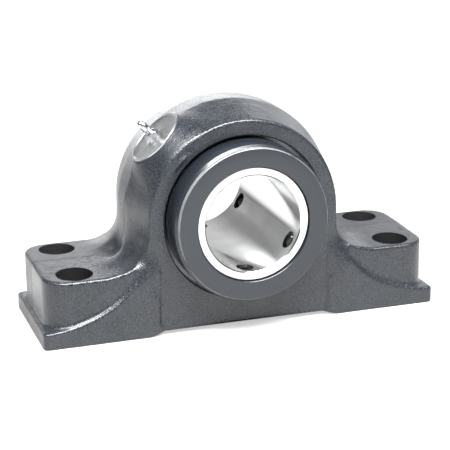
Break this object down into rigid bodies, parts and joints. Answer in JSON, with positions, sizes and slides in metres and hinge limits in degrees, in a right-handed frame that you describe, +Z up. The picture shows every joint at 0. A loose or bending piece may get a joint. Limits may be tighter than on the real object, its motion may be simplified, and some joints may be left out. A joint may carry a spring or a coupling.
{
  "type": "pillow block bearing",
  "caption": "Cast-iron pillow block with bolting pads, a tapered roller insert, a long inner ring held by set-screw collars, and a grease fitting.",
  "frame": {"origin": "centre of the base's bottom face", "axes": "+X along the base, +Y along the bore towards the rear, +Z up; the face seen in the picture looks along -Y"},
  "size_m": [0.37, 0.1666, 0.2],
  "materials": {
    "paint": "semi-gloss dark blue-grey paint over a sand-cast skin",
    "label": "satin plate with a raised rim",
    "fitting": "zinc plated",
    "ball": "polished",
    "spring": "drawn wire",
    "race": "ground",
    "spacer": "turned",
    "snap": "phosphated spring steel",
    "seal_steel": "pressed sheet",
    "seal_rubber": "moulded",
    "ring": "fine ground and honed",
    "cage": "pressed and phosphated",
    "collar": "black oxide",
    "screw": "black oxide",
    "roller": "ground and polished"
  },
  "bodies": {
    "base": {"housing": "paint", "label_plate": "label", "grease_fitting": "fitting", "check_spring": "spring", "front_cup": "race", "rear_cup": "race", "cup_spacer": "spacer", "front_snap_ring": "snap", "rear_snap_ring": "snap", "front_seal_case": "seal_steel", "rear_seal_case": "seal_steel", "front_seal_lip": "seal_rubber", "rear_seal_lip": "seal_rubber"},
    "sleeve": {"inner_ring": "ring", "front_collar": "collar", "rear_collar": "collar"},
    "front_cage_body": {"front_cage": "cage"},
    "rear_cage_body": {"rear_cage": "cage"},
    "ball_body": {"check_ball": "ball"},
    "front_screw_body_1": {"front_set_screw_1": "screw"},
    "front_screw_body_2": {"front_set_screw_2": "screw"},
    "front_roller_body_1": {"front_roller_1": "roller"},
    "front_roller_body_2": {"front_roller_2": "roller"},
    "front_roller_body_3": {"front_roller_3": "roller"},
    "front_roller_body_4": {"front_roller_4": "roller"},
    "front_roller_body_5": {"front_roller_5": "roller"},
    "front_roller_body_6": {"front_roller_6": "roller"},
    "front_roller_body_7": {"front_roller_7": "roller"},
    "front_roller_body_8": {"front_roller_8": "roller"},
    "front_roller_body_9": {"front_roller_9": "roller"},
    "front_roller_body_10": {"front_roller_10": "roller"},
    "front_roller_body_11": {"front_roller_11": "roller"},
    "front_roller_body_12": {"front_roller_12": "roller"},
    "front_roller_body_13": {"front_roller_13": "roller"},
    "front_roller_body_14": {"front_roller_14": "roller"},
    "front_roller_body_15": {"front_roller_15": "roller"},
    "front_roller_body_16": {"front_roller_16": "roller"},
    "front_roller_body_17": {"front_roller_17": "roller"},
    "front_roller_body_18": {"front_roller_18": "roller"},
    "rear_screw_body_1": {"rear_set_screw_1": "screw"},
    "rear_screw_body_2": {"rear_set_screw_2": "screw"},
    "rear_roller_body_1": {"rear_roller_1": "roller"},
    "rear_roller_body_2": {"rear_roller_2": "roller"},
    "rear_roller_body_3": {"rear_roller_3": "roller"},
    "rear_roller_body_4": {"rear_roller_4": "roller"},
    "rear_roller_body_5": {"rear_roller_5": "roller"},
    "rear_roller_body_6": {"rear_roller_6": "roller"},
    "rear_roller_body_7": {"rear_roller_7": "roller"},
    "rear_roller_body_8": {"rear_roller_8": "roller"},
    "rear_roller_body_9": {"rear_roller_9": "roller"},
    "rear_roller_body_10": {"rear_roller_10": "roller"},
    "rear_roller_body_11": {"rear_roller_11": "roller"},
    "rear_roller_body_12": {"rear_roller_12": "roller"},
    "rear_roller_body_13": {"rear_roller_13": "roller"},
    "rear_roller_body_14": {"rear_roller_14": "roller"},
    "rear_roller_body_15": {"rear_roller_15": "roller"},
    "rear_roller_body_16": {"rear_roller_16": "roller"},
    "rear_roller_body_17": {"rear_roller_17": "roller"},
    "rear_roller_body_18": {"rear_roller_18": "roller"}
  },
  "joints": [
    {"name": "shaft_spin", "type": "hinge", "parent": "base", "child": "sleeve", "pos_m": [0, 0, 0.1016], "axis": [0, 1, 0], "continuous": true},
    {"name": "front_cage_spin", "type": "hinge", "parent": "base", "child": "front_cage_body", "pos_m": [0, 0, 0.1016], "axis": [0, 1, 0], "continuous": true},
    {"name": "rear_cage_spin", "type": "hinge", "parent": "base", "child": "rear_cage_body", "pos_m": [0, 0, 0.1016], "axis": [0, 1, 0], "continuous": true},
    {"name": "check_ball_slide", "type": "slide", "parent": "base", "child": "ball_body", "axis": [0.7071, 0, -0.7071], "range_m": [0, 0.0006], "stiffness_N_per_m": 100, "springref_m": -0.002},
    {"name": "front_set_screw_1_travel", "type": "slide", "parent": "sleeve", "child": "front_screw_body_1", "axis": [-0.8572, 0, 0.515], "range_m": [0, 0.0088]},
    {"name": "front_set_screw_2_travel", "type": "slide", "parent": "sleeve", "child": "front_screw_body_2", "axis": [0.0872, 0, 0.9962], "range_m": [0, 0.0088]},
    {"name": "front_roller_1_spin", "type": "hinge", "parent": "front_cage_body", "child": "front_roller_body_1", "pos_m": [0.06, -0.017, 0.1016], "axis": [0.2079, 0.9781, 0], "continuous": true},
    {"name": "front_roller_2_spin", "type": "hinge", "parent": "front_cage_body", "child": "front_roller_body_2", "pos_m": [0.05638, -0.017, 0.12212], "axis": [0.1954, 0.9781, 0.0711], "continuous": true},
    {"name": "front_roller_3_spin", "type": "hinge", "parent": "front_cage_body", "child": "front_roller_body_3", "pos_m": [0.04596, -0.017, 0.14017], "axis": [0.1593, 0.9781, 0.1336], "continuous": true},
    {"name": "front_roller_4_spin", "type": "hinge", "parent": "front_cage_body", "child": "front_roller_body_4", "pos_m": [0.03, -0.017, 0.15356], "axis": [0.104, 0.9781, 0.1801], "continuous": true},
    {"name": "front_roller_5_spin", "type": "hinge", "parent": "front_cage_body", "child": "front_roller_body_5", "pos_m": [0.01042, -0.017, 0.16069], "axis": [0.0361, 0.9781, 0.2048], "continuous": true},
    {"name": "front_roller_6_spin", "type": "hinge", "parent": "front_cage_body", "child": "front_roller_body_6", "pos_m": [-0.01042, -0.017, 0.16069], "axis": [-0.0361, 0.9781, 0.2048], "continuous": true},
    {"name": "front_roller_7_spin", "type": "hinge", "parent": "front_cage_body", "child": "front_roller_body_7", "pos_m": [-0.03, -0.017, 0.15356], "axis": [-0.104, 0.9781, 0.1801], "continuous": true},
    {"name": "front_roller_8_spin", "type": "hinge", "parent": "front_cage_body", "child": "front_roller_body_8", "pos_m": [-0.04596, -0.017, 0.14017], "axis": [-0.1593, 0.9781, 0.1336], "continuous": true},
    {"name": "front_roller_9_spin", "type": "hinge", "parent": "front_cage_body", "child": "front_roller_body_9", "pos_m": [-0.05638, -0.017, 0.12212], "axis": [-0.1954, 0.9781, 0.0711], "continuous": true},
    {"name": "front_roller_10_spin", "type": "hinge", "parent": "front_cage_body", "child": "front_roller_body_10", "pos_m": [-0.06, -0.017, 0.1016], "axis": [-0.2079, 0.9781, 0], "continuous": true},
    {"name": "front_roller_11_spin", "type": "hinge", "parent": "front_cage_body", "child": "front_roller_body_11", "pos_m": [-0.05638, -0.017, 0.08108], "axis": [-0.1954, 0.9781, -0.0711], "continuous": true},
    {"name": "front_roller_12_spin", "type": "hinge", "parent": "front_cage_body", "child": "front_roller_body_12", "pos_m": [-0.04596, -0.017, 0.06303], "axis": [-0.1593, 0.9781, -0.1336], "continuous": true},
    {"name": "front_roller_13_spin", "type": "hinge", "parent": "front_cage_body", "child": "front_roller_body_13", "pos_m": [-0.03, -0.017, 0.04964], "axis": [-0.104, 0.9781, -0.1801], "continuous": true},
    {"name": "front_roller_14_spin", "type": "hinge", "parent": "front_cage_body", "child": "front_roller_body_14", "pos_m": [-0.01042, -0.017, 0.04251], "axis": [-0.0361, 0.9781, -0.2048], "continuous": true},
    {"name": "front_roller_15_spin", "type": "hinge", "parent": "front_cage_body", "child": "front_roller_body_15", "pos_m": [0.01042, -0.017, 0.04251], "axis": [0.0361, 0.9781, -0.2048], "continuous": true},
    {"name": "front_roller_16_spin", "type": "hinge", "parent": "front_cage_body", "child": "front_roller_body_16", "pos_m": [0.03, -0.017, 0.04964], "axis": [0.104, 0.9781, -0.1801], "continuous": true},
    {"name": "front_roller_17_spin", "type": "hinge", "parent": "front_cage_body", "child": "front_roller_body_17", "pos_m": [0.04596, -0.017, 0.06303], "axis": [0.1593, 0.9781, -0.1336], "continuous": true},
    {"name": "front_roller_18_spin", "type": "hinge", "parent": "front_cage_body", "child": "front_roller_body_18", "pos_m": [0.05638, -0.017, 0.08108], "axis": [0.1954, 0.9781, -0.0711], "continuous": true},
    {"name": "rear_set_screw_1_travel", "type": "slide", "parent": "sleeve", "child": "rear_screw_body_1", "axis": [-0.8572, 0, 0.515], "range_m": [0, 0.0088]},
    {"name": "rear_set_screw_2_travel", "type": "slide", "parent": "sleeve", "child": "rear_screw_body_2", "axis": [0.0872, 0, 0.9962], "range_m": [0, 0.0088]},
    {"name": "rear_roller_1_spin", "type": "hinge", "parent": "rear_cage_body", "child": "rear_roller_body_1", "pos_m": [0.06, 0.017, 0.1016], "axis": [-0.2079, 0.9781, 0], "continuous": true},
    {"name": "rear_roller_2_spin", "type": "hinge", "parent": "rear_cage_body", "child": "rear_roller_body_2", "pos_m": [0.05638, 0.017, 0.12212], "axis": [-0.1954, 0.9781, -0.0711], "continuous": true},
    {"name": "rear_roller_3_spin", "type": "hinge", "parent": "rear_cage_body", "child": "rear_roller_body_3", "pos_m": [0.04596, 0.017, 0.14017], "axis": [-0.1593, 0.9781, -0.1336], "continuous": true},
    {"name": "rear_roller_4_spin", "type": "hinge", "parent": "rear_cage_body", "child": "rear_roller_body_4", "pos_m": [0.03, 0.017, 0.15356], "axis": [-0.104, 0.9781, -0.1801], "continuous": true},
    {"name": "rear_roller_5_spin", "type": "hinge", "parent": "rear_cage_body", "child": "rear_roller_body_5", "pos_m": [0.01042, 0.017, 0.16069], "axis": [-0.0361, 0.9781, -0.2048], "continuous": true},
    {"name": "rear_roller_6_spin", "type": "hinge", "parent": "rear_cage_body", "child": "rear_roller_body_6", "pos_m": [-0.01042, 0.017, 0.16069], "axis": [0.0361, 0.9781, -0.2048], "continuous": true},
    {"name": "rear_roller_7_spin", "type": "hinge", "parent": "rear_cage_body", "child": "rear_roller_body_7", "pos_m": [-0.03, 0.017, 0.15356], "axis": [0.104, 0.9781, -0.1801], "continuous": true},
    {"name": "rear_roller_8_spin", "type": "hinge", "parent": "rear_cage_body", "child": "rear_roller_body_8", "pos_m": [-0.04596, 0.017, 0.14017], "axis": [0.1593, 0.9781, -0.1336], "continuous": true},
    {"name": "rear_roller_9_spin", "type": "hinge", "parent": "rear_cage_body", "child": "rear_roller_body_9", "pos_m": [-0.05638, 0.017, 0.12212], "axis": [0.1954, 0.9781, -0.0711], "continuous": true},
    {"name": "rear_roller_10_spin", "type": "hinge", "parent": "rear_cage_body", "child": "rear_roller_body_10", "pos_m": [-0.06, 0.017, 0.1016], "axis": [0.2079, 0.9781, 0], "continuous": true},
    {"name": "rear_roller_11_spin", "type": "hinge", "parent": "rear_cage_body", "child": "rear_roller_body_11", "pos_m": [-0.05638, 0.017, 0.08108], "axis": [0.1954, 0.9781, 0.0711], "continuous": true},
    {"name": "rear_roller_12_spin", "type": "hinge", "parent": "rear_cage_body", "child": "rear_roller_body_12", "pos_m": [-0.04596, 0.017, 0.06303], "axis": [0.1593, 0.9781, 0.1336], "continuous": true},
    {"name": "rear_roller_13_spin", "type": "hinge", "parent": "rear_cage_body", "child": "rear_roller_body_13", "pos_m": [-0.03, 0.017, 0.04964], "axis": [0.104, 0.9781, 0.1801], "continuous": true},
    {"name": "rear_roller_14_spin", "type": "hinge", "parent": "rear_cage_body", "child": "rear_roller_body_14", "pos_m": [-0.01042, 0.017, 0.04251], "axis": [0.0361, 0.9781, 0.2048], "continuous": true},
    {"name": "rear_roller_15_spin", "type": "hinge", "parent": "rear_cage_body", "child": "rear_roller_body_15", "pos_m": [0.01042, 0.017, 0.04251], "axis": [-0.0361, 0.9781, 0.2048], "continuous": true},
    {"name": "rear_roller_16_spin", "type": "hinge", "parent": "rear_cage_body", "child": "rear_roller_body_16", "pos_m": [0.03, 0.017, 0.04964], "axis": [-0.104, 0.9781, 0.1801], "continuous": true},
    {"name": "rear_roller_17_spin", "type": "hinge", "parent": "rear_cage_body", "child": "rear_roller_body_17", "pos_m": [0.04596, 0.017, 0.06303], "axis": [-0.1593, 0.9781, 0.1336], "continuous": true},
    {"name": "rear_roller_18_spin", "type": "hinge", "parent": "rear_cage_body", "child": "rear_roller_body_18", "pos_m": [0.05638, 0.017, 0.08108], "axis": [-0.1954, 0.9781, 0.0711], "continuous": true}
  ],
  "couplings": [
    {"joint": "front_cage_spin", "follows": "shaft_spin", "ratio": 0.43968},
    {"joint": "rear_cage_spin", "follows": "shaft_spin", "ratio": 0.43968},
    {"joint": "front_roller_1_spin", "follows": "shaft_spin", "ratio": -3.9951},
    {"joint": "front_roller_2_spin", "follows": "shaft_spin", "ratio": -3.9951},
    {"joint": "front_roller_3_spin", "follows": "shaft_spin", "ratio": -3.9951},
    {"joint": "front_roller_4_spin", "follows": "shaft_spin", "ratio": -3.9951},
    {"joint": "front_roller_5_spin", "follows": "shaft_spin", "ratio": -3.9951},
    {"joint": "front_roller_6_spin", "follows": "shaft_spin", "ratio": -3.9951},
    {"joint": "front_roller_7_spin", "follows": "shaft_spin", "ratio": -3.9951},
    {"joint": "front_roller_8_spin", "follows": "shaft_spin", "ratio": -3.9951},
    {"joint": "front_roller_9_spin", "follows": "shaft_spin", "ratio": -3.9951},
    {"joint": "front_roller_10_spin", "follows": "shaft_spin", "ratio": -3.9951},
    {"joint": "front_roller_11_spin", "follows": "shaft_spin", "ratio": -3.9951},
    {"joint": "front_roller_12_spin", "follows": "shaft_spin", "ratio": -3.9951},
    {"joint": "front_roller_13_spin", "follows": "shaft_spin", "ratio": -3.9951},
    {"joint": "front_roller_14_spin", "follows": "shaft_spin", "ratio": -3.9951},
    {"joint": "front_roller_15_spin", "follows": "shaft_spin", "ratio": -3.9951},
    {"joint": "front_roller_16_spin", "follows": "shaft_spin", "ratio": -3.9951},
    {"joint": "front_roller_17_spin", "follows": "shaft_spin", "ratio": -3.9951},
    {"joint": "front_roller_18_spin", "follows": "shaft_spin", "ratio": -3.9951},
    {"joint": "rear_roller_1_spin", "follows": "shaft_spin", "ratio": -3.9951},
    {"joint": "rear_roller_2_spin", "follows": "shaft_spin", "ratio": -3.9951},
    {"joint": "rear_roller_3_spin", "follows": "shaft_spin", "ratio": -3.9951},
    {"joint": "rear_roller_4_spin", "follows": "shaft_spin", "ratio": -3.9951},
    {"joint": "rear_roller_5_spin", "follows": "shaft_spin", "ratio": -3.9951},
    {"joint": "rear_roller_6_spin", "follows": "shaft_spin", "ratio": -3.9951},
    {"joint": "rear_roller_7_spin", "follows": "shaft_spin", "ratio": -3.9951},
    {"joint": "rear_roller_8_spin", "follows": "shaft_spin", "ratio": -3.9951},
    {"joint": "rear_roller_9_spin", "follows": "shaft_spin", "ratio": -3.9951},
    {"joint": "rear_roller_10_spin", "follows": "shaft_spin", "ratio": -3.9951},
    {"joint": "rear_roller_11_spin", "follows": "shaft_spin", "ratio": -3.9951},
    {"joint": "rear_roller_12_spin", "follows": "shaft_spin", "ratio": -3.9951},
    {"joint": "rear_roller_13_spin", "follows": "shaft_spin", "ratio": -3.9951},
    {"joint": "rear_roller_14_spin", "follows": "shaft_spin", "ratio": -3.9951},
    {"joint": "rear_roller_15_spin", "follows": "shaft_spin", "ratio": -3.9951},
    {"joint": "rear_roller_16_spin", "follows": "shaft_spin", "ratio": -3.9951},
    {"joint": "rear_roller_17_spin", "follows": "shaft_spin", "ratio": -3.9951},
    {"joint": "rear_roller_18_spin", "follows": "shaft_spin", "ratio": -3.9951}
  ]
}
